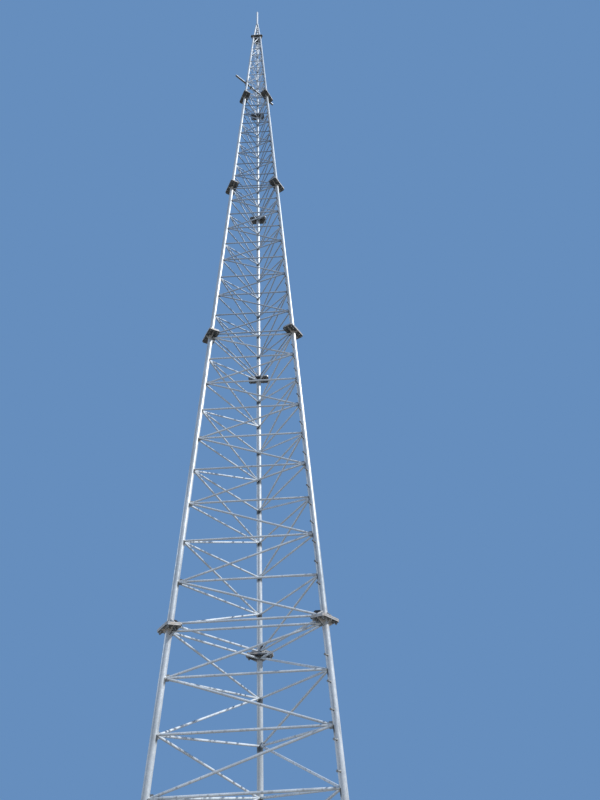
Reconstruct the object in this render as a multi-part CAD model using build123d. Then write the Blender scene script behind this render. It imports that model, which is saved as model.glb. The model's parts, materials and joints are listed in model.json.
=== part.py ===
from build123d import *
import os
from math import cos, radians, sin, sqrt

# Lightning protection tower: three tubular legs that lean together, braced by zigzag faces, in five
# bolted sections, with a head plate, a spire and a lightning rod. Millimetres, +Z up. The origin is
# the underside centre of the rear leg's foot plate, and the front face looks towards -Y.

# The tower as a whole
section_length = 6000
section_count = 5
panels_per_section = 9
base_width = 2752          # from leg centre to leg centre at the ground
head_width = 280           # the same under the head plate

# Legs: one tube size for each section, from the ground up
leg_diameters = (102, 102, 95, 89, 76)
leg_wall = 5
seat_clearance = 0.3       # between curved seats

# Flanged joints of the legs
flange_length = 470        # along the tangent of the tower
flange_width = 240
flange_thickness = 20
flange_corner = 28
rib_height = 110
rib_thickness = 12
rib_toe = 15               # height of a rib at its outer end
rib_margin = 22            # from a rib's outer end to the plate's edge

# Braces: one bar size for each section, from the ground up
brace_sizes = (32, 32, 30, 27, 24)
brace_sides = 4
flange_to_brace = 35       # from a flange plate to the axis of the nearest horizontal

# Feet
foot_size = 380
foot_thickness = 25
foot_corner = 30
anchor_hole = 27
anchor_spacing = 280       # side of the square of four holes
foot_rib_height = 150

# Head plate and the pads under it
head_radius = 330
head_corner = 60
head_thickness = 20
pad_size = 150
pad_corner = 35
pad_thickness = 16

# Spire and rod
spire_height = 1650        # from the head plate to the top of the collar
spire_foot_radius = 150
spire_bar_size = 57
collar_diameter = 120
collar_height = 160
spire_tie_heights = (560, 1050)
spire_tie_size = 30
skirt_height = 330
skirt_thickness = 8
rod_diameter = 76
rod_length = 1750
rod_tip_length = 110
rod_tip_diameter = 20
rod_socket = 120           # how deep the rod stands in the collar

# Cross arm
arm_level = 38             # the panel level it lies on, counted from the ground
arm_angle = 41             # from +X towards +Y
arm_diameter = 70
arm_wall = 5
arm_outer_reach = 450      # from the left leg outwards
arm_inner_reach = 1235     # from the left leg through the tower and beyond

foot_radius = base_width / sqrt(3)
rear_angle, left_angle, right_angle = 90, 210, 330
leg_angles = {"rear": rear_angle, "left": left_angle, "right": right_angle}
tower_height = section_length * section_count
apex_height = tower_height / (1 - head_width / base_width)
panel_height = section_length / panels_per_section
centre = Location((0, -foot_radius, 0))


def leg_point(angle, z):
    """The point of a leg's centre line at a height, about the tower's own axis."""
    radius = foot_radius * (1 - z / apex_height)
    return Vector(radius * cos(radians(angle)), radius * sin(radians(angle)), z)


def bar(start, end, diameter):
    """A round bar from one point to another."""
    run = end - start
    return extrude(Plane(origin=start, z_dir=run) * Circle(diameter / 2), run.length)


def brace(start, end, size, facing, overrun=0):
    """A few-sided bar between two nodes, a flat side towards a direction, that may run on past both."""
    run = end - start
    ahead = run.normalized() * overrun
    profile = RegularPolygon(size / 2, brace_sides, major_radius=False, rotation=180 / brace_sides)
    return extrude(Plane(origin=start - ahead, x_dir=facing, z_dir=run) * profile, run.length + 2 * overrun)


def leg_cylinder(angle, bottom, top, diameter):
    """A cylinder on a leg's centre line that reaches past both heights."""
    return bar(leg_point(angle, bottom - diameter), leg_point(angle, top + diameter), diameter)


def slab(bottom, top):
    """All the room between two heights."""
    size = 3 * base_width
    return Location((0, 0, (bottom + top) / 2)) * Box(size, size, top - bottom)


def plate(angle, z, length, width, thickness, corner):
    """A horizontal plate on a leg, long side along the tangent, its underside at z."""
    outline = chamfer(Rectangle(width, length).vertices(), corner)
    return Pos(leg_point(angle, z)) * Rot(0, 0, angle) * extrude(outline, thickness)


def rib(angle, face, turn, reach, height, up, start=0):
    """An upright triangular rib out over a plate face, from a distance off the leg's centre."""
    side = 1 if up else -1
    shape = Polyline((start, 0), (reach, 0), (reach, side * rib_toe), (start, side * height), close=True)
    place = Plane(origin=leg_point(angle, face), x_dir=(cos(radians(turn)), sin(radians(turn)), 0),
                  z_dir=(sin(radians(turn)), -cos(radians(turn)), 0))
    return extrude(place * make_face(shape), rib_thickness / 2, both=True)


def flange_ribs(angle, face, up):
    """The two long ribs and the outer rib of a flange plate."""
    long_reach = flange_length / 2 - rib_margin
    short_reach = flange_width / 2 - rib_margin / 2
    ribs = [rib(angle, face, angle + turn, long_reach, rib_height, up) for turn in (90, -90)]
    return ribs + [rib(angle, face, angle, short_reach, rib_height, up)]


def leg_section(index):
    """One length of the rear leg with its flanges, its pad or its plain foot end."""
    bottom, top = index * section_length, (index + 1) * section_length
    diameter = leg_diameters[index]
    first, last = index == 0, index == section_count - 1
    low = foot_thickness if first else bottom
    parts = [leg_cylinder(rear_angle, bottom, top, diameter) & slab(low, top)]
    if not first:
        parts.append(plate(rear_angle, bottom, flange_length, flange_width, flange_thickness, flange_corner))
        parts += flange_ribs(rear_angle, bottom + flange_thickness, True)
    if last:
        parts.append(plate(rear_angle, top - pad_thickness, pad_size, pad_size, pad_thickness, pad_corner))
    else:
        under = top - flange_thickness
        flange = plate(rear_angle, top, flange_length, flange_width, -flange_thickness, flange_corner)
        parts.append(flange)
        parts += flange_ribs(rear_angle, under, False)
    solid = parts[0].fuse(*parts[1:])
    return solid - leg_cylinder(rear_angle, bottom, top, diameter - 2 * leg_wall)


def face_node(angle, other_angle, z, index):
    """The point where braces meet a leg's surface in the plane of a face."""
    leg, other = leg_point(angle, z), leg_point(other_angle, z)
    return leg + (other - leg).normalized() * (leg_diameters[index] / 2)


def face_section(index):
    """The zigzag bracing of the front face in one section, cut back parallel to both legs."""
    bottom, top = index * section_length, (index + 1) * section_length
    near = flange_thickness + flange_to_brace
    size, overrun = brace_sizes[index], leg_diameters[index] / 2
    left_foot, right_foot = leg_point(left_angle, 0), leg_point(right_angle, 0)
    facing = (right_foot - left_foot).cross(leg_point(left_angle, tower_height) - left_foot)
    levels = [bottom + k * panel_height for k in range(panels_per_section + 1)]
    levels[0] += near
    levels[-1] -= near
    parts = []
    for k, z in enumerate(levels):
        rising_right = (index * panels_per_section + k) % 2 == 0
        low, high = (left_angle, right_angle) if rising_right else (right_angle, left_angle)
        start = face_node(low, high, z, index)
        parts.append(brace(start, face_node(high, low, z, index), size, facing, overrun))
        if k < panels_per_section:
            parts.append(brace(start, face_node(high, low, levels[k + 1], index), size, facing, overrun))
    return parts[0].fuse(*parts[1:]) & face_window(index)


def face_window(index):
    """The room between two legs of one section, a thick panel in the plane of the front face."""
    bottom, top = index * section_length, (index + 1) * section_length
    low_left, low_right = leg_point(left_angle, bottom), leg_point(right_angle, bottom)
    high_left, high_right = leg_point(left_angle, top), leg_point(right_angle, top)
    along_leg = high_left - low_left
    inset = (leg_diameters[index] / 2 + seat_clearance) * along_leg.length / sqrt(along_leg.Y ** 2 + along_leg.Z ** 2)
    inward = Vector(inset, 0, 0)
    corners = (low_left + inward, low_right - inward, high_right - inward, high_left + inward)
    return extrude(make_face(Polyline(*corners, close=True)), 4 * brace_sizes[index], both=True)


def foot():
    """The rear leg's foot: a plate with four anchor holes and three ribs round the tube."""
    outline = chamfer(Rectangle(foot_size, foot_size).vertices(), foot_corner)
    base = Pos(leg_point(rear_angle, 0)) * extrude(outline, foot_thickness)
    reach = foot_size / 2 - rib_margin
    start = leg_diameters[0] / 2 + seat_clearance
    ribs = [rib(rear_angle, foot_thickness, turn, reach, foot_rib_height, True, start) for turn in (0, 90, 180)]
    holes = [Pos(leg_point(rear_angle, 0)) * spot * Cylinder(anchor_hole / 2, 4 * foot_thickness)
             for spot in GridLocations(anchor_spacing, anchor_spacing, 2, 2)]
    return base.fuse(*ribs) - holes


def head_plate():
    """The triangular plate with cut corners that closes the legs."""
    outline = RegularPolygon(head_radius, 3, rotation=90)
    outline = chamfer(outline.vertices(), head_corner)
    return Pos(0, 0, tower_height) * extrude(outline, head_thickness)


def spire_point(angle, height):
    """The centre of a spire bar at a height above the head plate."""
    top_radius = (collar_diameter - spire_bar_size) / 2
    radius = spire_foot_radius + (top_radius - spire_foot_radius) * height / spire_height
    return Vector(radius * cos(radians(angle)), radius * sin(radians(angle)), tower_height + head_thickness + height)


def spire_frame():
    """Three bars that lean together into the collar, with a skirt and two rows of ties."""
    floor = tower_height + head_thickness
    angles = list(leg_angles.values())
    parts = [Pos(0, 0, floor + spire_height - collar_height) * extrude(Circle(collar_diameter / 2), collar_height)]
    for angle, following in zip(angles, angles[1:] + angles[:1]):
        lower_end = spire_point(angle, -spire_bar_size)
        upper_end = spire_point(angle, spire_height - collar_height / 2)
        outward = lower_end - Vector(0, 0, lower_end.Z)
        parts.append(brace(lower_end, upper_end, spire_bar_size, outward))
        for height in spire_tie_heights:
            ends = spire_point(angle, height), spire_point(following, height)
            parts.append(brace(*ends, spire_tie_size, Vector(0, 0, 1)))
        corners = [spire_point(angle, 0), spire_point(following, 0),
                   spire_point(following, skirt_height), spire_point(angle, skirt_height)]
        sheet = make_face(Polyline(*corners, close=True))
        parts.append(extrude(sheet, skirt_thickness / 2, both=True))
    solid = parts[0].fuse(*parts[1:]) & slab(floor, floor + spire_height)
    socket = Pos(0, 0, floor + spire_height) * Cylinder(rod_diameter / 2 + seat_clearance, 2 * rod_socket)
    return solid - socket


def lightning_rod():
    """The round rod with its tapering point."""
    foot_z = tower_height + head_thickness + spire_height - rod_socket
    radius = rod_diameter / 2
    half = Polyline((0, 0), (radius, 0), (radius, rod_length - rod_tip_length),
                    (rod_tip_diameter / 2, rod_length), (0, rod_length), close=True)
    return Pos(0, 0, foot_z) * revolve(Plane.XZ * make_face(half), Axis.Z)


def cross_arm():
    """The level tube, open at both ends, that lies on two horizontals and against the left leg."""
    index = arm_level // panels_per_section
    level = arm_level * panel_height
    z = level + brace_sizes[index] / 2 + arm_diameter / 2 + seat_clearance
    along = Vector(cos(radians(arm_angle)), sin(radians(arm_angle)), 0)
    behind_leg = Vector(-along.Y, along.X, 0)
    offset = leg_diameters[index] / 2 + arm_diameter / 2 + seat_clearance
    seat = leg_point(left_angle, z) + behind_leg * offset
    start, end = seat - along * arm_outer_reach, seat + along * arm_inner_reach
    return bar(start, end, arm_diameter) - bar(start, end, arm_diameter - 2 * arm_wall)


def save(name, solid):
    """Move a piece from the tower's axis to the shared origin and write it."""
    placed = centre * solid
    placed.label = name
    export_step(placed, "parts/" + name + ".step")


os.makedirs("parts", exist_ok=True)
turns = {"rear": 0, "left": 120, "right": 240}
face_turns = {"front": 0, "right": 120, "left": 240}
for section in range(section_count):
    leg = leg_section(section)
    for side, turn in turns.items():
        save("leg_" + side + "_" + str(section + 1), Rot(0, 0, turn) * leg)
    lattice = face_section(section)
    for side, turn in face_turns.items():
        save("face_" + side + "_" + str(section + 1), Rot(0, 0, turn) * lattice)
rear_foot = foot()
for side, turn in turns.items():
    save("foot_" + side, Rot(0, 0, turn) * rear_foot)
save("head_plate", head_plate())
save("spire_frame", spire_frame())
save("lightning_rod", lightning_rod())
save("cross_arm", cross_arm())
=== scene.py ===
import json
from math import cos, pi, radians, sin, sqrt

import bmesh
import bpy
from mathutils import Matrix, Vector


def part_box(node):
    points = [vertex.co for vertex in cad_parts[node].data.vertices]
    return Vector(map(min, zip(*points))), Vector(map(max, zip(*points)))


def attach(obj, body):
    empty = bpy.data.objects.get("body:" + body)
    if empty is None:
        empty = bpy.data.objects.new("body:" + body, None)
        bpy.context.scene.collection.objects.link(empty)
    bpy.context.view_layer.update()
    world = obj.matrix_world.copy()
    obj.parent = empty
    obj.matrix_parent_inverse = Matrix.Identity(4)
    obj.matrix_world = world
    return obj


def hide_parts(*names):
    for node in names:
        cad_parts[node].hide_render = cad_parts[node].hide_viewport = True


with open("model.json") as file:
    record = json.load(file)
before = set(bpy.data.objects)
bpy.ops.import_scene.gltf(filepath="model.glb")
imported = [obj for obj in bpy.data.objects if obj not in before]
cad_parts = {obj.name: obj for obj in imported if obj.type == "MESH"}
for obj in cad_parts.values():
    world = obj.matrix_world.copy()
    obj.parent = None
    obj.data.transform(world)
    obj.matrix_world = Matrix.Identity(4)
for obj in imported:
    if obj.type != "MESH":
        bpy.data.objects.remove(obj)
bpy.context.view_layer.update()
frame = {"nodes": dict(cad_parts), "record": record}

# The tower's lines, in metres and degrees, as the solids have them
SECTION = 6.0
SECTIONS = 5
PANELS = 9
PANEL = SECTION / PANELS
TOP = SECTION * SECTIONS
LEG_RADII = (0.051, 0.051, 0.0475, 0.0445, 0.038)
FLANGE = 0.020
FLANGE_LENGTH = 0.470
FLANGE_WIDTH = 0.240
FLANGE_CORNER = 0.028
FLANGE_TO_BRACE = 0.035
HEAD_WIDTH = 0.280
HEAD_PLATE = 0.020
FOOT_PLATE = 0.025
ANCHOR_SPACING = 0.280
PAD = 0.016
REAR, LEFT, RIGHT = 90, 210, 330
LEGS = (REAR, LEFT, RIGHT)
LEG_SPACING = 120
FACES = {"front": (LEFT, RIGHT), "right": (RIGHT, REAR), "left": (REAR, LEFT)}
UP = Vector((0, 0, 1))

foot_left, foot_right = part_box("foot_left"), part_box("foot_right")
BASE_WIDTH = (sum(foot_right, Vector()).x - sum(foot_left, Vector()).x) / 2
BASE_RADIUS = BASE_WIDTH / sqrt(3)
APEX = TOP / (1 - HEAD_WIDTH / BASE_WIDTH)
AXIS = Vector((0, -BASE_RADIUS, 0))


def heading(degrees):
    """The level direction at an angle from +X."""
    return Vector((cos(radians(degrees)), sin(radians(degrees)), 0))


def leg_point(angle, z):
    """The point of a leg's centre line at a height."""
    return AXIS + heading(angle) * BASE_RADIUS * (1 - z / APEX) + UP * z


def leg_direction(angle):
    """Up along a leg."""
    return (leg_point(angle, TOP) - leg_point(angle, 0)).normalized()


# Finishes

METALLIC = 0.35
SPECULAR = 0.40

# Scales of the patterns: a larger one is finer
CLOUD_SCALE = 2.2
RUN_SCALE = 7.0
STREAK_SCALE = 9.0
PATCH_SCALE = 13.0
POLISH_SCALE = 18.0
RELIEF_SCALE = 55.0
RELIEF_DEPTH = 0.002
SMOOTHER = 0.10            # how far the polish varies to both sides of a finish's own roughness
ROUGHER = 0.12

# How far dirt is solid and where it ends away from a flanged joint, and how far a brace's painted shadow is
# solid and where it ends down from the brace
JOINT_DIRT_SOLID = 0.03
JOINT_DIRT_END = 0.20
BRACE_SHADOW_SOLID = 0.066
BRACE_SHADOW_END = 0.110

# How far a surface has to face down before it darkens with painted shade, and how dark it gets
UNDERSIDE_START = -0.2
UNDERSIDE_FULL = -0.9
UNDERSIDE_SHADE = 0.96


def feed(links, socket, value):
    """Link a socket to another one, or give it a fixed value."""
    if isinstance(value, bpy.types.NodeSocket):
        links.new(value, socket)
    else:
        socket.default_value = value


def maths(nodes, links, operation, *values):
    """A number worked out from numbers or sockets."""
    node = nodes.new("ShaderNodeMath")
    node.operation = operation
    for socket, value in zip(node.inputs, values):
        feed(links, socket, value)
    return node.outputs["Value"]


def vector_maths(nodes, links, operation, *values):
    """A vector worked out from vectors or sockets, or a number where it is a dot product."""
    node = nodes.new("ShaderNodeVectorMath")
    node.operation = operation
    for socket, value in zip(node.inputs, values):
        feed(links, socket, value)
    return node.outputs["Value" if operation == "DOT_PRODUCT" else "Vector"]


def separate(nodes, links, vector):
    """A vector's parts."""
    node = nodes.new("ShaderNodeSeparateXYZ")
    links.new(vector, node.inputs["Vector"])
    return node.outputs


def noise(nodes, links, place, scale, stretch=(1, 1, 1), detail=4.0):
    """A noise pattern on object coordinates, finer along an axis by its stretch."""
    mapping = nodes.new("ShaderNodeMapping")
    mapping.inputs["Scale"].default_value = stretch
    links.new(place, mapping.inputs["Vector"])
    pattern = nodes.new("ShaderNodeTexNoise")
    pattern.inputs["Scale"].default_value = scale
    pattern.inputs["Detail"].default_value = detail
    links.new(mapping.outputs["Vector"], pattern.inputs["Vector"])
    return pattern.outputs["Fac"]


def ramp(nodes, links, source, *stops):
    """A ramp of greys from (position, grey) stops."""
    node = nodes.new("ShaderNodeValToRGB")
    for element, (position, grey) in zip(node.color_ramp.elements, stops):
        element.position = position
        element.color = (grey, grey, grey, 1)
    links.new(source, node.inputs["Fac"])
    return node.outputs["Color"]


def mix(nodes, links, factor, first, second, kind="MIX"):
    """One colour laid over another."""
    node = nodes.new("ShaderNodeMix")
    node.data_type = "RGBA"
    node.blend_type = kind
    # Inputs 0, 6 and 7 are the factor and the two colours, and output 2 is the mixed colour
    for number, value in ((0, factor), (6, first), (7, second)):
        feed(links, node.inputs[number], (*value, 1) if isinstance(value, tuple) else value)
    return node.outputs[2]


def near_joints(nodes, links, place):
    """A mask that is strongest at the flanged joints and the ground and fades out along the legs."""
    distance = maths(nodes, links, "PINGPONG", separate(nodes, links, place)["Z"], SECTION / 2)
    close = ramp(nodes, links, distance, (JOINT_DIRT_SOLID, 1.0), (JOINT_DIRT_END, 0.0))
    patches = ramp(nodes, links, noise(nodes, links, place, PATCH_SCALE), (0.35, 0.35), (0.60, 1.0))
    return mix(nodes, links, 1.0, close, patches, "MULTIPLY")


def brace_shadow_bands(nodes, links, place, normal):
    """A mask of painted shadow that the braces cast down the inner side of each leg, in streaky bands below
    the places where they meet it.
    """
    depth = maths(nodes, links, "MULTIPLY", separate(nodes, links, place)["Z"], -1)
    below = maths(nodes, links, "FLOORED_MODULO", depth, PANEL)
    below_brace = ramp(nodes, links, below, (BRACE_SHADOW_SOLID, 1.0), (BRACE_SHADOW_END, 0.0))
    streaks = noise(nodes, links, place, STREAK_SCALE, stretch=(5, 5, 0.6))
    streaks = ramp(nodes, links, streaks, (0.32, 0.70), (0.50, 1.0))
    runs_and_shadow_mask = mix(nodes, links, 1.0, below_brace, streaks, "MULTIPLY")
    inward = vector_maths(nodes, links, "SUBTRACT", AXIS, place)
    inward = vector_maths(nodes, links, "MULTIPLY", inward, (1, 1, 0))
    inward = vector_maths(nodes, links, "NORMALIZE", inward)
    facing = vector_maths(nodes, links, "DOT_PRODUCT", inward, normal)
    inner_side = ramp(nodes, links, facing, (0.0, 0.0), (0.30, 0.92))
    return mix(nodes, links, 1.0, runs_and_shadow_mask, inner_side, "MULTIPLY")


def galvanised(name, bright, dull, stain, under, spangle, roughness, bump, joint_dirt=None):
    """Hot-dip zinc: crystals, a cloudy dulling, stains that run down, and painted shade on what faces down.
    """
    material = bpy.data.materials.new(name)
    material.use_nodes = True
    nodes, links = material.node_tree.nodes, material.node_tree.links
    shader = nodes["Principled BSDF"]
    shader.inputs["Metallic"].default_value = METALLIC
    shader.inputs["Specular IOR Level"].default_value = SPECULAR
    place = nodes.new("ShaderNodeTexCoord").outputs["Object"]
    normal = nodes.new("ShaderNodeNewGeometry").outputs["Normal"]
    upward = separate(nodes, links, normal)["Z"]

    clouds = noise(nodes, links, place, CLOUD_SCALE, stretch=(1, 1, 0.5), detail=5.0)
    zinc = mix(nodes, links, ramp(nodes, links, clouds, (0.36, 0.0), (0.64, 1.0)), bright, dull)
    crystals = nodes.new("ShaderNodeTexVoronoi")
    crystals.inputs["Scale"].default_value = spangle
    links.new(place, crystals.inputs["Vector"])
    tint = nodes.new("ShaderNodeSeparateColor")
    links.new(crystals.outputs["Color"], tint.inputs["Color"])
    grain = ramp(nodes, links, tint.outputs["Red"], (0.0, 0.86), (1.0, 1.0))
    zinc = mix(nodes, links, 1.0, zinc, grain, "MULTIPLY")

    runs = noise(nodes, links, place, RUN_SCALE, stretch=(4, 4, 0.35), detail=6.0)
    runs_and_shadow_mask = ramp(nodes, links, runs, (0.55, 0.0), (0.72, 0.75))
    steep = ramp(nodes, links, upward, (0.55, 1.0), (0.90, 0.25))
    runs_and_shadow_mask = mix(nodes, links, 1.0, runs_and_shadow_mask, steep, "MULTIPLY")
    zinc = mix(nodes, links, runs_and_shadow_mask, zinc, stain)
    if joint_dirt:
        zinc = mix(nodes, links, near_joints(nodes, links, place), zinc, joint_dirt)
        # Painted shadow: near-black bands on the legs' inner sides under each level of braces
        zinc = mix(nodes, links, brace_shadow_bands(nodes, links, place, normal), zinc, PAINTED_SHADE_BLACK)
    # Painted shade: what faces down is darkened towards the finish's underside colour
    turned = nodes.new("ShaderNodeMapRange")
    turned.inputs["From Min"].default_value = UNDERSIDE_START
    turned.inputs["From Max"].default_value = UNDERSIDE_FULL
    turned.inputs["To Max"].default_value = UNDERSIDE_SHADE
    links.new(upward, turned.inputs["Value"])
    zinc = mix(nodes, links, turned.outputs["Result"], zinc, under)
    links.new(zinc, shader.inputs["Base Color"])

    polish = noise(nodes, links, place, POLISH_SCALE)
    rough = ramp(nodes, links, polish, (0.3, roughness - SMOOTHER), (0.7, roughness + ROUGHER))
    links.new(rough, shader.inputs["Roughness"])
    unevenness = noise(nodes, links, place, RELIEF_SCALE, stretch=(1, 1, 0.6), detail=3.0)
    relief = nodes.new("ShaderNodeBump")
    relief.inputs["Strength"].default_value = bump
    relief.inputs["Distance"].default_value = RELIEF_DEPTH
    links.new(unevenness, relief.inputs["Height"])
    links.new(relief.outputs["Normal"], shader.inputs["Normal"])
    return material


PALE = (0.88, 0.92, 0.95)
SILVER = (0.80, 0.85, 0.90)
MID_SILVER = (0.59, 0.65, 0.70)
GREY = (0.62, 0.64, 0.64)
MID_GREY = (0.42, 0.44, 0.45)
DULL = (0.40, 0.42, 0.43)
DARK = (0.24, 0.25, 0.26)
DUST = (0.58, 0.53, 0.48)
STAIN = (0.32, 0.34, 0.36)
RUST = (0.10, 0.07, 0.05)
# Dark greys for stains and for the painted shade on undersides, and the black of the painted shade and
# shadows
DIRT_AND_SHADE = (0.17, 0.17, 0.17)
NEAR_BLACK = (0.055, 0.050, 0.046)
PAINTED_SHADE_BLACK = (0.034, 0.042, 0.050)

# The braces' three tones, each with its bright and dull zinc and its painted underside shade; the blue tint
# is a painted reflection of the sky, and the second and third tones are darker copies, as painted shade
COOL, COOL_DULL, BLUE_GREY = (0.80, 0.87, 0.94), (0.57, 0.64, 0.72), (0.36, 0.42, 0.50)
BLUE, BLUE_DULL, SHADED = (0.71, 0.80, 0.90), (0.48, 0.56, 0.66), (0.19, 0.25, 0.34)
DEEP_BLUE, DEEP_BLUE_DULL, DEEP_SHADED = (0.64, 0.74, 0.86), (0.42, 0.51, 0.63), (0.09, 0.14, 0.22)

# Each finish's fifth colour is the painted shade on what faces down
TUBE_ZINC = galvanised("tube_zinc", SILVER, MID_SILVER, STAIN, PAINTED_SHADE_BLACK,
                       spangle=70, roughness=0.40, bump=0.25, joint_dirt=DUST)
# A paler copy of the tube zinc, as painted light, for the spire, its skirt and the tube solids
SUNLIT_ROD_ZINC = galvanised("sunlit_rod_zinc", PALE, SILVER, MID_SILVER, NEAR_BLACK,
                      spangle=70, roughness=0.45, bump=0.2)
BRACE_ZINC = galvanised("brace_zinc", COOL, COOL_DULL, STAIN, BLUE_GREY,
                        spangle=80, roughness=0.50, bump=0.25)
SHADED_BRACE_ZINC = galvanised("shaded_brace_zinc", BLUE, BLUE_DULL, STAIN, SHADED,
                             spangle=80, roughness=0.50, bump=0.25)
DEEP_SHADED_BRACE_ZINC = galvanised("deep_shaded_brace_zinc", DEEP_BLUE, DEEP_BLUE_DULL, STAIN, DEEP_SHADED,
                             spangle=80, roughness=0.50, bump=0.25)
PLATE_ZINC = galvanised("plate_zinc", GREY, MID_GREY, DIRT_AND_SHADE, PAINTED_SHADE_BLACK,
                        spangle=45, roughness=0.55, bump=0.35)
# A darker copy of the plate zinc, as painted shade, for the gussets and the step pegs
GUSSET_ZINC = galvanised("gusset_zinc", DULL, DARK, DIRT_AND_SHADE, NEAR_BLACK,
                         spangle=60, roughness=0.60, bump=0.35)
# A near-black zinc for the gussets over the flanges and the joint seams
DARKEST_ZINC = galvanised("darkest_zinc", DIRT_AND_SHADE, NEAR_BLACK, NEAR_BLACK, NEAR_BLACK,
                      spangle=60, roughness=0.65, bump=0.4)
BOLT_ZINC = galvanised("bolt_zinc", DULL, DARK, RUST, NEAR_BLACK,
                       spangle=120, roughness=0.55, bump=0.2)
WELD_ZINC = galvanised("weld_zinc", GREY, MID_GREY, DIRT_AND_SHADE, DIRT_AND_SHADE,
                       spangle=90, roughness=0.55, bump=0.8)


# Shapes

SHARP_ANGLE = 35           # edges that turn more than this stay crisp


def upright(direction, origin):
    """The turn and move that stand local +Z along a direction at a point."""
    turn = Vector(direction).to_track_quat("Z", "Y").to_matrix().to_4x4()
    return Matrix.Translation(origin) @ turn


def rod(bm, start, end, radius, sides, end_radius=None):
    """A closed round or many-sided bar between two points."""
    run = end - start
    bmesh.ops.create_cone(bm, cap_ends=True, cap_tris=False, segments=sides, radius1=radius,
                          radius2=radius if end_radius is None else end_radius, depth=run.length,
                          matrix=upright(run, (start + end) / 2))


def wall(bm, ring, next_ring):
    """The faces between two closed rings of points, in the same order on each run."""
    for k in range(len(ring)):
        bm.faces.new((ring[k - 1], ring[k], next_ring[k], next_ring[k - 1]))


def plate_from(bm, outline, normal, thickness):
    """A flat plate of even thickness about an outline's plane."""
    half = normal.normalized() * thickness / 2
    lower, upper = ([bm.verts.new(corner + shift) for corner in outline] for shift in (-half, half))
    bm.faces.new(lower)
    bm.faces.new(upper)
    wall(bm, lower, upper)


def oblong(start, end, half_width):
    """The corners of a rectangle from a start to an end, in order round it."""
    return (start, -half_width), (end, -half_width), (end, half_width), (start, half_width)


def finish_piece(name, bm, material, smooth=True, replaced=()):
    """Make a piece of a bmesh, ride it on the tower and give it its finish."""
    bmesh.ops.recalc_face_normals(bm, faces=bm.faces)
    mesh = bpy.data.meshes.new(name)
    bm.to_mesh(mesh)
    bm.free()
    piece = bpy.data.objects.new(name, mesh)
    bpy.context.scene.collection.objects.link(piece)
    mesh.materials.append(material)
    if smooth:
        mesh.shade_smooth()
        mesh.set_sharp_from_angle(angle=radians(SHARP_ANGLE))
    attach(piece, "root")
    if replaced:
        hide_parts(*replaced)


# Braces, with one radius and one finish for each section, from the ground up; the third and fourth sections
# get the darker tones as painted shade

BRACE_RADII = (0.0170, 0.0170, 0.0160, 0.0145, 0.0130)
BRACE_FINISHES = (BRACE_ZINC, BRACE_ZINC, SHADED_BRACE_ZINC, DEEP_SHADED_BRACE_ZINC, BRACE_ZINC)
BRACE_SIDES = 16
BRACE_BURIED = 0.55        # how far a brace runs on into a leg, as a share of the leg's radius
WELDED_AT = 0.9            # where plates and pegs start inside a leg's wall, as a share of its radius
BEAD = 0.007

GUSSET = 0.008
GUSSET_REACH = 0.062       # past the leg's surface
GUSSET_EDGE = 0.012        # past the braces
GUSSET_CUT_ALONG = 0.8     # where the cut corners start, as shares of the reach and the height
GUSSET_CUT_UP = 0.5
JOINT_GUSSET_REACH = 0.115
JOINT_GUSSET_RISE = 0.075


def brace_levels(index):
    """The heights of one section's horizontals."""
    levels = [index * SECTION + k * PANEL for k in range(PANELS + 1)]
    levels[0] += FLANGE + FLANGE_TO_BRACE
    levels[-1] -= FLANGE + FLANGE_TO_BRACE
    return levels


def surface_node(angle, other, z, index):
    """The point where braces meet a leg's surface in the plane of a face."""
    leg, far = leg_point(angle, z), leg_point(other, z)
    return leg + (far - leg).normalized() * LEG_RADII[index]


def brace(bm, beads, start, end, index):
    """A round tube welded to a leg at both ends."""
    along = (end - start).normalized()
    radius = BRACE_RADII[index]
    buried = LEG_RADII[index] * BRACE_BURIED
    rod(bm, start - along * buried, end + along * buried, radius, BRACE_SIDES)
    bead_end = BEAD + radius * abs(along.z)
    for point, inward in ((start, along), (end, -along)):
        rod(beads, point - inward * BEAD, point + inward * bead_end, radius + BEAD, BRACE_SIDES, radius)


def gusset(bm, angle, other, z, index, k, over_flange):
    """A plate in the face's plane that ties the braces of one level to a leg."""
    leg, far = leg_point(angle, z), leg_point(other, z)
    across, up = (far - leg).normalized(), leg_direction(angle)
    leg_radius, brace_radius = LEG_RADII[index], BRACE_RADII[index]
    steepness = PANEL / (far - leg).length
    height = leg_radius * steepness + brace_radius * sqrt(1 + steepness ** 2) + GUSSET_EDGE
    near, reach = leg_radius * WELDED_AT, leg_radius + GUSSET_REACH
    rise = brace_radius if k == PANELS else height
    drop = brace_radius if k == 0 else height
    if over_flange:
        reach, rise = leg_radius + JOINT_GUSSET_REACH, JOINT_GUSSET_RISE
    corners = ((near, -drop), (GUSSET_CUT_ALONG * reach, -drop), (reach, -GUSSET_CUT_UP * drop),
               (reach, GUSSET_CUT_UP * rise), (GUSSET_CUT_ALONG * reach, rise), (near, rise))
    plate_from(bm, [leg + across * x + up * y for x, y in corners], across.cross(up), GUSSET)


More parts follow.
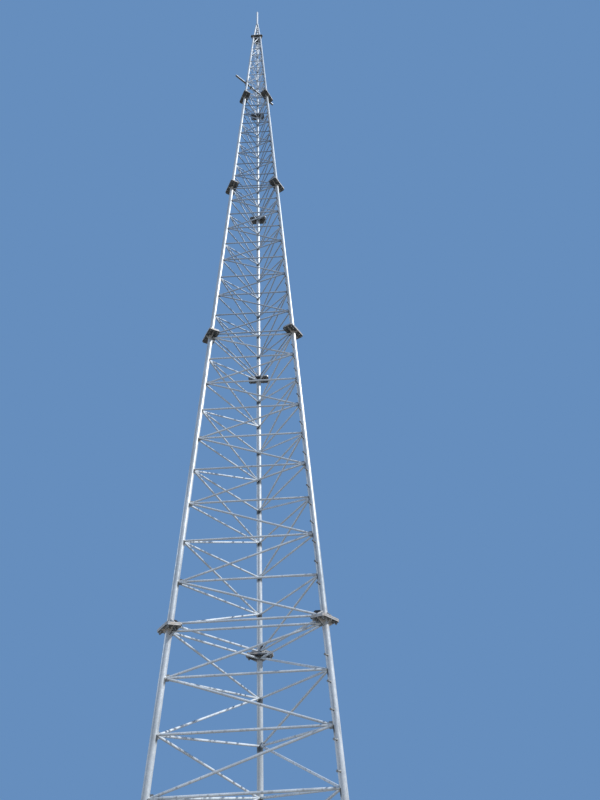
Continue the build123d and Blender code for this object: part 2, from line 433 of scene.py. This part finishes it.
def braced_face(side, index, joint_plates):
    """One section of one face: horizontals, the zigzag, their gussets and weld beads."""
    first, second = FACES[side]
    bm, plates, beads = bmesh.new(), bmesh.new(), bmesh.new()
    levels = brace_levels(index)
    for k, z in enumerate(levels):
        low, high = (first, second) if (index * PANELS + k) % 2 == 0 else (second, first)
        start = surface_node(low, high, z, index)
        brace(bm, beads, start, surface_node(high, low, z, index), index)
        over_flange = k == 0 and index > 0
        gusset(joint_plates if over_flange else plates, low, high, z, index, k, over_flange)
        if k < PANELS:
            brace(bm, beads, start, surface_node(high, low, levels[k + 1], index), index)
    ending = side + "_" + str(index + 1)
    finish_piece("braces_" + ending, bm, BRACE_FINISHES[index], replaced=["face_" + ending])
    # The gussets get the darker zinc, as painted shade
    finish_piece("gussets_" + ending, plates, GUSSET_ZINC, smooth=False)
    finish_piece("brace_welds_" + ending, beads, WELD_ZINC)


joint_gussets = bmesh.new()
for section in range(SECTIONS):
    for face in FACES:
        braced_face(face, section, joint_gussets)
finish_piece("joint_gussets", joint_gussets, DARKEST_ZINC, smooth=False)


# Bolts: proportions of a washer, a head and a nut, as shares of the bolt's diameter

WASHER_RADIUS = 0.95
WASHER_THICKNESS = 0.15
ACROSS_FLATS = 1.5
HEAD_HEIGHT = 0.64
NUT_HEIGHT = 0.82
CHAMFER_HEIGHT = 0.12      # a hexagon's chamfer, as shares of its height and its radius
CHAMFER_RADIUS = 0.86
BOLT_SIDES = 12
WASHER_SIDES = 16
NUT_TURN = 0.4             # turns are in radians, and keep the hexagons from all standing alike
BOLT_TURN = 0.7

JOINT_BOLT = 0.024
JOINT_BOLT_EDGE = 0.042
JOINT_BOLT_TAIL = 0.012
PAD_BOLT = 0.016
PAD_BOLT_CIRCLE = 0.056    # from the leg's centre line
PAD_BOLT_TURNS = (180, 60, -60)
PAD_BOLT_TAIL = 0.008

ANCHOR = 0.024
ANCHOR_WASHER_RADIUS = 1.05
ANCHOR_WASHER = 0.005
ANCHOR_NUT = 0.020
ANCHOR_NUT_GAP = 0.001
ANCHOR_TOP = 0.066         # above the foot plate
ANCHOR_START = 0.9         # down in the hole, as a share of the plate's thickness
LOWER_NUT_TURN = 0.3
UPPER_NUT_TURN = -0.5

SEAM = 0.0024
SEAM_PROUD = 0.0006


def hexagon(bm, centre, axis, across, height, turn=0.0):
    """A hexagonal head or nut with chamfered corners, standing on a point."""
    place = upright(axis, centre) @ Matrix.Rotation(turn, 4, "Z")
    radius = across / sqrt(3)
    shoulder = height - CHAMFER_HEIGHT * height
    for low, high, upper in ((0, shoulder, radius), (shoulder, height, CHAMFER_RADIUS * radius)):
        middle = Matrix.Translation((0, 0, (low + high) / 2))
        bmesh.ops.create_cone(bm, cap_ends=True, segments=6, radius1=radius, radius2=upper,
                              depth=high - low, matrix=place @ middle)


def washer(bm, centre, axis, radius, thickness):
    """A flat round washer that stands on a point."""
    rod(bm, centre, centre + axis * thickness, radius, WASHER_SIDES)


def bolt(bm, top, bottom, size, turn, tail):
    """A bolt through plates from top to bottom: head and washer above, washer, nut and tail below."""
    axis = (top - bottom).normalized()
    thin, across, nut = WASHER_THICKNESS * size, ACROSS_FLATS * size, NUT_HEIGHT * size
    washer(bm, top, axis, WASHER_RADIUS * size, thin)
    hexagon(bm, top + axis * thin, axis, across, HEAD_HEIGHT * size, turn)
    washer(bm, bottom, -axis, WASHER_RADIUS * size, thin)
    hexagon(bm, bottom - axis * thin, -axis, across, nut, turn + NUT_TURN)
    rod(bm, bottom, bottom - axis * (thin + nut + tail), size / 2, BOLT_SIDES)


def joint_bolts():
    """The bolts that hold the flange pairs together, two rows of four beside the ribs."""
    bm = bmesh.new()
    row = FLANGE_WIDTH / 2 - JOINT_BOLT_EDGE
    outer, inner = FLANGE_LENGTH / 2 - JOINT_BOLT_EDGE, FLANGE_LENGTH / 4
    spots = [(radial, along) for along in (-outer, -inner, inner, outer) for radial in (-row, row)]
    for level in range(1, SECTIONS):
        for angle in LEGS:
            joint = leg_point(angle, level * SECTION)
            out, tangent = heading(angle), heading(angle + 90)
            for number, (radial, along) in enumerate(spots):
                spot = joint + out * radial + tangent * along
                turn = BOLT_TURN * number + level
                bolt(bm, spot + UP * FLANGE, spot - UP * FLANGE, JOINT_BOLT, turn, JOINT_BOLT_TAIL)
    finish_piece("joint_bolts", bm, BOLT_ZINC)


def head_bolts():
    """The bolts that hold the head plate to the pads."""
    bm = bmesh.new()
    for angle in LEGS:
        pad = leg_point(angle, TOP)
        for number, turn in enumerate(PAD_BOLT_TURNS):
            spot = pad + heading(angle + turn) * PAD_BOLT_CIRCLE
            bolt(bm, spot + UP * HEAD_PLATE, spot - UP * PAD, PAD_BOLT, number, PAD_BOLT_TAIL)
    finish_piece("head_bolts", bm, BOLT_ZINC)


def anchor_nuts():
    """The nuts, washers and bolt ends on the foot plates."""
    bm = bmesh.new()
    across = ACROSS_FLATS * ANCHOR
    upper_nut = ANCHOR_WASHER + ANCHOR_NUT + ANCHOR_NUT_GAP
    for angle in LEGS:
        foot = leg_point(angle, 0)
        for radial, tangent in ((-1, -1), (-1, 1), (1, -1), (1, 1)):
            offset = heading(angle) * radial + heading(angle + 90) * tangent
            spot = foot + offset * ANCHOR_SPACING / 2 + UP * FOOT_PLATE
            washer(bm, spot, UP, ANCHOR_WASHER_RADIUS * ANCHOR, ANCHOR_WASHER)
            for rise, turn in ((ANCHOR_WASHER, LOWER_NUT_TURN), (upper_nut, UPPER_NUT_TURN)):
                hexagon(bm, spot + UP * rise, UP, across, ANCHOR_NUT, radial + tangent * turn)
            start = spot - UP * FOOT_PLATE * ANCHOR_START
            rod(bm, start, spot + UP * ANCHOR_TOP, ANCHOR / 2, BOLT_SIDES)
    finish_piece("anchor_nuts", bm, BOLT_ZINC)


def joint_seams():
    """The dark line of sealant between the two plates of every flanged joint."""
    bm = bmesh.new()
    wide, long = FLANGE_WIDTH / 2 + SEAM_PROUD, FLANGE_LENGTH / 2 + SEAM_PROUD
    corners = []
    for x, y in ((1, 1), (-1, 1), (-1, -1), (1, -1)):
        cuts = [(x * wide, y * (long - FLANGE_CORNER)), (x * (wide - FLANGE_CORNER), y * long)]
        corners += cuts if x * y > 0 else cuts[::-1]
    for level in range(1, SECTIONS):
        for angle in LEGS:
            joint = leg_point(angle, level * SECTION)
            out, tangent = heading(angle), heading(angle + 90)
            plate_from(bm, [joint + out * x + tangent * y for x, y in corners], UP, SEAM)
    finish_piece("joint_seams", bm, DARKEST_ZINC, smooth=False)


joint_bolts()
head_bolts()
anchor_nuts()
joint_seams()


# Weld beads round the legs and along the ribs

LEG_BEAD = 0.009
LEG_BEAD_SIDES = 32
RIB = 0.012
RIB_TOE = 0.015
RIB_FILLET = 0.005
RIB_FILLET_SIDES = 6
FLANGE_RIB = (0.110, 0.213, 0.109)   # height, reach of the two long ribs, reach of the outer rib
FOOT_RIB = (0.150, 0.168, 0.168)


def leg_welds():
    """A fillet of weld where each leg tube meets its plates."""
    bm = bmesh.new()
    for angle in LEGS:
        up = leg_direction(angle)
        for index, radius in enumerate(LEG_RADII):
            bottom = index * SECTION + (FLANGE if index else FOOT_PLATE)
            top = (index + 1) * SECTION - (FLANGE if index < SECTIONS - 1 else PAD)
            low, high = leg_point(angle, bottom), leg_point(angle, top)
            rod(bm, low, low + up * LEG_BEAD, radius + LEG_BEAD, LEG_BEAD_SIDES, radius)
            rod(bm, high - up * LEG_BEAD, high, radius, LEG_BEAD_SIDES, radius + LEG_BEAD)
    finish_piece("leg_welds", bm, WELD_ZINC)


def rib_welds(bm, angle, face, upward, radius, sizes):
    """Fillets on both sides of a plate's three ribs: out along the plate and along the leg."""
    height, long_reach, short_reach = sizes
    for turn, reach in ((90, long_reach), (-90, long_reach), (0, short_reach)):
        out, aside = heading(angle + turn), heading(angle + turn + 90)
        rise = (height - (height - RIB_TOE) * radius / reach) * upward
        for side in (-RIB / 2, RIB / 2):
            corner = leg_point(angle, face) + out * radius + aside * side
            rod(bm, corner, corner + out * (reach - radius), RIB_FILLET, RIB_FILLET_SIDES)
            rod(bm, corner, corner + leg_direction(angle) * rise, RIB_FILLET, RIB_FILLET_SIDES)


def all_rib_welds():
    """The rib fillets of every flange and foot."""
    bm = bmesh.new()
    for angle in LEGS:
        rib_welds(bm, angle, FOOT_PLATE, 1, LEG_RADII[0], FOOT_RIB)
        for level in range(1, SECTIONS):
            z = level * SECTION
            rib_welds(bm, angle, z + FLANGE, 1, LEG_RADII[level], FLANGE_RIB)
            rib_welds(bm, angle, z - FLANGE, -1, LEG_RADII[level - 1], FLANGE_RIB)
    finish_piece("rib_welds", bm, WELD_ZINC)


leg_welds()
all_rib_welds()


# Step pegs up the right leg

PEG_PITCH = PANEL / 2
PEG_START = 2.5
PEG_HEADING = 245
PEG_TO_JOINT = 0.2         # no peg stands nearer to a flanged joint
PEG_RADIUS = 0.009
PEG_LENGTH = 0.085
PEG_SIDES = 10
PEG_HEAD = 0.008
PEG_HEAD_PROUD = 0.007
PEG_BEAD = 0.018           # from the peg's start inside the leg's wall
PEG_BEAD_SIDES = 14
PEG_BEAD_FOOT = 0.009      # how far the bead stands proud of the peg, at its foot and at its end
PEG_BEAD_END = 0.002


def step_pegs():
    """Climbing pegs welded to one side of the right leg."""
    bm = bmesh.new()
    out = heading(PEG_HEADING)
    for number in range(int((TOP - PEG_START) / PEG_PITCH)):
        z = PEG_START + number * PEG_PITCH
        if not PEG_TO_JOINT <= z % SECTION <= SECTION - PEG_TO_JOINT:
            continue
        radius = LEG_RADII[min(int(z // SECTION), SECTIONS - 1)]
        foot = leg_point(RIGHT, z) + out * radius * WELDED_AT
        tip = foot + out * PEG_LENGTH
        rod(bm, foot, tip, PEG_RADIUS, PEG_SIDES)
        rod(bm, foot, foot + out * PEG_BEAD, PEG_RADIUS + PEG_BEAD_FOOT, PEG_BEAD_SIDES,
            PEG_RADIUS + PEG_BEAD_END)
        rod(bm, tip, tip + out * PEG_HEAD, PEG_RADIUS + PEG_HEAD_PROUD, PEG_SIDES)
    # The pegs get the darker gusset zinc, as painted shade
    finish_piece("step_pegs", bm, GUSSET_ZINC)


step_pegs()


# Spire

SPIRE_HEIGHT = 1.650
SPIRE_FLOOR = TOP + HEAD_PLATE
SPIRE_FOOT_RADIUS = 0.150
SPIRE_BAR = 0.0285
SPIRE_BAR_SIDES = 24
SPIRE_BAR_END = 0.012      # the tapered end inside the collar's height, and its radius as a share
SPIRE_BAR_TAPER = 0.6
SPIRE_BAR_BEAD = 0.009
SPIRE_TIE = 0.015
SPIRE_TIES = (0.560, 1.050)
SPIRE_TIE_SIDES = 16
SPIRE_TIE_BEAD = 0.006
TIE_BEAD_START = 0.9       # from a tube's centre, as shares of its radius
TIE_BEAD_END = 1.3
SKIRT = 0.008
SKIRT_HEIGHT = 0.330
SKIRT_LIFT = 0.002
ROD_RADIUS = 0.038
ROD_CLEARANCE = 0.0005
COLLAR_RADIUS = 0.060
COLLAR_HEIGHT = 0.160
COLLAR_CHAMFER = 0.004
COLLAR_STEPS = 40
SCREW_HEADINGS = (30, 150, 270)
SCREW_HEIGHTS = (0.04, 0.12)
SCREW_ACROSS = 0.019
SCREW_HEAD = 0.013
SCREW_SUNK = 0.002


def spire_point(angle, height):
    """The centre of a spire tube at a height above the head plate."""
    radius = SPIRE_FOOT_RADIUS + (COLLAR_RADIUS - SPIRE_BAR - SPIRE_FOOT_RADIUS) * height / SPIRE_HEIGHT
    return AXIS + heading(angle) * radius + UP * (SPIRE_FLOOR + height)


def spire_tie(bm, beads, start, end):
    """A level bar between two spire tubes, with a bead at both ends."""
    rod(bm, start, end, SPIRE_TIE, SPIRE_TIE_SIDES)
    across = (end - start).normalized() * SPIRE_BAR
    for point, inward in ((start, across), (end, -across)):
        rod(beads, point + TIE_BEAD_START * inward, point + TIE_BEAD_END * inward,
            SPIRE_TIE + SPIRE_TIE_BEAD, SPIRE_TIE_SIDES, SPIRE_TIE)


def collar(bm, foot):
    """The sleeve with chamfered edges that holds the rod, turned round its bore."""
    bore = ROD_RADIUS + ROD_CLEARANCE
    points = ((bore, 0), (COLLAR_RADIUS - COLLAR_CHAMFER, 0), (COLLAR_RADIUS, COLLAR_CHAMFER),
              (COLLAR_RADIUS, COLLAR_HEIGHT - COLLAR_CHAMFER),
              (COLLAR_RADIUS - COLLAR_CHAMFER, COLLAR_HEIGHT), (bore, COLLAR_HEIGHT))
    turns = [heading(360 * step / COLLAR_STEPS) for step in range(COLLAR_STEPS)]
    profiles = [[bm.verts.new(foot + turn * x + UP * z) for x, z in points] for turn in turns]
    for step in range(COLLAR_STEPS):
        wall(bm, profiles[step - 1], profiles[step])


def collar_screws(foot):
    """The screws that clamp the rod in the collar."""
    bm = bmesh.new()
    for turn in SCREW_HEADINGS:
        for height in SCREW_HEIGHTS:
            spot = foot + heading(turn) * COLLAR_RADIUS + UP * height
            hexagon(bm, spot - heading(turn) * SCREW_SUNK, heading(turn), SCREW_ACROSS, SCREW_HEAD, turn)
    finish_piece("collar_screws", bm, BOLT_ZINC)


def spire():
    """Three tubes that lean together, their ties, the skirt between their feet and the collar."""
    bm, plates, beads = bmesh.new(), bmesh.new(), bmesh.new()
    bar_top = SPIRE_HEIGHT - COLLAR_HEIGHT / 2
    for angle in LEGS:
        following = angle + LEG_SPACING
        foot, shoulder = spire_point(angle, 0), spire_point(angle, bar_top)
        rod(bm, foot, shoulder, SPIRE_BAR, SPIRE_BAR_SIDES)
        rod(bm, shoulder, spire_point(angle, bar_top + SPIRE_BAR_END), SPIRE_BAR, SPIRE_BAR_SIDES,
            SPIRE_BAR_TAPER * SPIRE_BAR)
        for height in SPIRE_TIES:
            spire_tie(bm, beads, spire_point(angle, height), spire_point(following, height))
        corners = [spire_point(angle, SKIRT_LIFT), spire_point(following, SKIRT_LIFT),
                   spire_point(following, SKIRT_HEIGHT), spire_point(angle, SKIRT_HEIGHT)]
        plate_from(plates, corners, heading(angle + LEG_SPACING / 2), SKIRT)
        rod(beads, foot, foot + UP * SPIRE_BAR_BEAD, SPIRE_BAR + SPIRE_BAR_BEAD, SPIRE_BAR_SIDES, SPIRE_BAR)
    collar_foot = AXIS + UP * (SPIRE_FLOOR + SPIRE_HEIGHT - COLLAR_HEIGHT)
    collar(bm, collar_foot)
    finish_piece("spire_tubes", bm, SUNLIT_ROD_ZINC, replaced=["spire_frame"])
    # The skirt gets the paler zinc, as painted light where it sits in shade
    finish_piece("spire_skirt", plates, SUNLIT_ROD_ZINC, smooth=False)
    finish_piece("spire_welds", beads, WELD_ZINC)
    collar_screws(collar_foot)


spire()


# Fixings of the cross arm

ARM_HEADING = 41
ARM_RADIUS = 0.035

U_BOLT = 0.006             # radius of its bar
U_BOLT_DEPTH = 0.094       # from the arm's centre to the ends of its legs
U_BOLT_END = 0.028         # how much of a leg stands out past the strap
U_BOLT_SIDES = 10
U_BOLT_STEPS = 14
U_WASHER = 0.002
U_WASHER_RADIUS = 0.013
U_NUT = 0.010
U_NUT_ACROSS = 0.019
STRAP = 0.008
STRAP_HALF_LENGTH = 0.062
STRAP_HALF_WIDTH = 0.020

TAB = 0.006                # the saddle's feet
TAB_START = -0.008
TAB_END = 0.034
TAB_HALF_WIDTH = 0.014
TAB_SCREW_REACH = 0.020
TAB_SCREW = 0.009
TAB_SCREW_ACROSS = 0.017
TAB_SCREW_TURN = 0.3

BAND = 0.006
BAND_HEIGHT = 0.032
BAND_SIDES = 32
BAND_GAP = 0.008           # between the arm and a band
LUG = 0.008
LUG_START = 0.030          # from the leg's centre line
LUG_PAST_KEEPER = 0.020
KEEPER_RADIUS = 0.008      # the pin behind the arm that joins the two bands
KEEPER_GAP = 0.010
KEEPER_REACH = 1.35        # as a share of a band's distance from the arm
KEEPER_SIDES = 12
KEEPER_NUT = 0.012
KEEPER_NUT_ACROSS = 0.024


def half_ring(bm, middle, side, toward, radius, thickness):
    """A bent bar half round a tube, open towards one side, and its two ends."""
    bends = [pi * k / U_BOLT_STEPS for k in range(U_BOLT_STEPS + 1)]
    ring = [middle + (side * cos(bend) - toward * sin(bend)) * (radius + thickness) for bend in bends]
    for start, end in zip(ring[:-1], ring[1:]):
        rod(bm, start, end, thickness, U_BOLT_SIDES)
    return ring[0], ring[-1]


def u_bolt(bm, middle, along, toward, radius, depth):
    """A bent bar round a tube, a strap across its legs behind what it holds, and the nuts."""
    side = along.cross(toward).normalized()
    strap_top = depth - U_BOLT_END
    for start in half_ring(bm, middle, side, toward, radius, U_BOLT):
        rod(bm, start, start + toward * depth, U_BOLT, U_BOLT_SIDES)
        washer(bm, start + toward * strap_top, toward, U_WASHER_RADIUS, U_WASHER)
        hexagon(bm, start + toward * (strap_top + U_WASHER), toward, U_NUT_ACROSS, U_NUT)
    strap_middle = middle + toward * (strap_top - STRAP / 2)
    outline = oblong(-STRAP_HALF_LENGTH, STRAP_HALF_LENGTH, STRAP_HALF_WIDTH)
    plate_from(bm, [strap_middle + side * x + along * y for x, y in outline], toward, STRAP)


def saddle(bm, middle, along, radius, drop):
    """A bent bar over the arm whose feet stand on the horizontal under it."""
    down = -UP
    side = along.cross(down).normalized()
    for start, outward in zip(half_ring(bm, middle, side, down, radius, U_BOLT), (side, -side)):
        spot = start + down * drop
        rod(bm, start, spot, U_BOLT, U_BOLT_SIDES)
        outline = oblong(TAB_START, TAB_END, TAB_HALF_WIDTH)
        plate_from(bm, [spot + outward * x + along * y for x, y in outline], down, TAB)
        screw = spot + outward * TAB_SCREW_REACH + UP * TAB / 2
        hexagon(bm, screw, UP, TAB_SCREW_ACROSS, TAB_SCREW, TAB_SCREW_TURN)


def arm_crossing(seat, along, side, z):
    """The point where the arm passes over a face's horizontal."""
    first, second = (leg_point(angle, z) for angle in FACES[side])
    run, gap = second - first, first - seat
    return seat + along * (gap.x * run.y - gap.y * run.x) / (along.x * run.y - along.y * run.x)


def leg_bands(bm, z, index, along, behind):
    """Two bands round the leg, over and under the arm, with lugs and the pin that joins them."""
    spread = ARM_RADIUS + BAND_GAP + BAND_HEIGHT / 2
    keeper = LEG_RADII[index] + 2 * ARM_RADIUS + KEEPER_GAP
    half_band = leg_direction(LEFT) * BAND_HEIGHT / 2
    for offset in (-spread, spread):
        ring = leg_point(LEFT, z + offset)
        rod(bm, ring - half_band, ring + half_band, LEG_RADII[index] + BAND, BAND_SIDES)
        outline = oblong(LUG_START, keeper + LUG_PAST_KEEPER, BAND_HEIGHT / 2)
        plate_from(bm, [ring + behind * x + UP * y for x, y in outline], along, LUG)
    reach = KEEPER_REACH * spread
    foot, head = (leg_point(LEFT, z + offset) + behind * keeper for offset in (-reach, reach))
    rod(bm, foot, head, KEEPER_RADIUS, KEEPER_SIDES)
    hexagon(bm, head - UP * KEEPER_NUT, UP, KEEPER_NUT_ACROSS, KEEPER_NUT)
    hexagon(bm, foot + UP * KEEPER_NUT, -UP, KEEPER_NUT_ACROSS, KEEPER_NUT)


def arm_fixings():
    """What holds the arm: a U-bolt on one horizontal, a saddle on the other, bands on the leg."""
    bm = bmesh.new()
    low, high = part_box("cross_arm")
    z = (low.z + high.z) / 2
    index = int(z // SECTION)
    along, behind = heading(ARM_HEADING), heading(ARM_HEADING + 90)
    seat = leg_point(LEFT, z) + behind * (LEG_RADII[index] + ARM_RADIUS)
    u_bolt(bm, arm_crossing(seat, along, "left", z), along, -UP, ARM_RADIUS, U_BOLT_DEPTH)
    saddle(bm, arm_crossing(seat, along, "right", z), along, ARM_RADIUS, ARM_RADIUS - TAB / 2)
    leg_bands(bm, z, index, along, behind)
    finish_piece("arm_fixings", bm, BOLT_ZINC)


arm_fixings()


# The solids that show get their finish

FINISH = {"leg_steel": TUBE_ZINC, "brace_steel": BRACE_ZINC,
          "plate_steel": PLATE_ZINC, "tube_steel": SUNLIT_ROD_ZINC}
slots = {row["node"]: row["material_slot"] for row in frame["record"]["subparts"]}
for node, shown in frame["nodes"].items():
    shown.data.materials.clear()
    shown.data.materials.append(FINISH[slots[node]])


# Floor, sky and lights

PALE_FLOOR = (0.50, 0.47, 0.42)
FLOOR_ROUGHNESS = 0.9
FLOOR_REACH = 4000
BLUE_SKY = (0.133, 0.270, 0.513)
SKYLIGHT = (0.50, 0.60, 0.75)
SKYLIGHT_STRENGTH = 0.42
SUNLIGHT = (1.0, 0.99, 0.97)
RIM_LIGHT = (0.80, 0.90, 1.0)


def floor():
    """A wide plain floor at ground level."""
    bm = bmesh.new()
    bmesh.ops.create_grid(bm, x_segments=1, y_segments=1, size=FLOOR_REACH)
    mesh = bpy.data.meshes.new("floor")
    bm.to_mesh(mesh)
    bm.free()
    ground = bpy.data.objects.new("floor", mesh)
    bpy.context.scene.collection.objects.link(ground)
    material = bpy.data.materials.new("floor")
    material.use_nodes = True
    shader = material.node_tree.nodes["Principled BSDF"]
    shader.inputs["Base Color"].default_value = (*PALE_FLOOR, 1)
    shader.inputs["Roughness"].default_value = FLOOR_ROUGHNESS
    mesh.materials.append(material)


def sky():
    """A plain blue backdrop, and a softer light of its own for the tower."""
    world = bpy.data.worlds.new("sky")
    world.use_nodes = True
    bpy.context.scene.world = world
    nodes, links = world.node_tree.nodes, world.node_tree.links
    fill = nodes["Background"]
    fill.inputs["Color"].default_value = (*SKYLIGHT, 1)
    fill.inputs["Strength"].default_value = SKYLIGHT_STRENGTH
    backdrop = nodes.new("ShaderNodeBackground")
    backdrop.inputs["Color"].default_value = (*BLUE_SKY, 1)
    backdrop.inputs["Strength"].default_value = 1.0
    rays = nodes.new("ShaderNodeLightPath").outputs
    seen = maths(nodes, links, "MAXIMUM", rays["Is Camera Ray"], rays["Is Transmission Ray"])
    seen_or_mirrored = maths(nodes, links, "MAXIMUM", seen, rays["Is Glossy Ray"])
    blend = nodes.new("ShaderNodeMixShader")
    links.new(seen_or_mirrored, blend.inputs["Fac"])
    links.new(fill.outputs[0], blend.inputs[1])
    links.new(backdrop.outputs[0], blend.inputs[2])
    links.new(blend.outputs[0], nodes["World Output"].inputs["Surface"])


def sun(name, colour, strength, azimuth, elevation, spread):
    """A sun that shines from an azimuth, counted from +X, and a height above the horizon."""
    lamp = bpy.data.lights.new(name, "SUN")
    lamp.energy = strength
    lamp.angle = radians(spread)
    lamp.color = colour
    holder = bpy.data.objects.new(name, lamp)
    bpy.context.scene.collection.objects.link(holder)
    toward = heading(azimuth) * cos(radians(elevation)) + UP * sin(radians(elevation))
    holder.rotation_euler = toward.to_track_quat("Z", "Y").to_euler()


floor()
sky()
sun("key", SUNLIGHT, strength=3.4, azimuth=-17, elevation=42, spread=1.5)
sun("rim", RIM_LIGHT, strength=0.35, azimuth=174, elevation=20, spread=12)


# Camera: low beside the tower, looking up

CAMERA_PLACE = (0.943, -10.410, 3.734)
CAMERA_PITCH = 37.62
CAMERA_YAW = 0.05
CAMERA_ROLL = -3.27
LENS = 24.36
FARTHEST_SEEN = 12000      # past the floor's edge


def camera():
    """The photograph's viewing angle."""
    data = bpy.data.cameras.new("camera")
    data.lens = LENS
    data.clip_end = FARTHEST_SEEN
    holder = bpy.data.objects.new("camera", data)
    bpy.context.scene.collection.objects.link(holder)
    yaw = Matrix.Rotation(radians(-CAMERA_YAW), 4, "Z")
    pitch = Matrix.Rotation(radians(90 + CAMERA_PITCH), 4, "X")
    roll = Matrix.Rotation(radians(CAMERA_ROLL), 4, "Z")
    holder.matrix_world = Matrix.Translation(CAMERA_PLACE) @ (yaw @ pitch @ roll)
    bpy.context.scene.camera = holder


camera()
bpy.context.scene.view_settings.view_transform = "Standard"
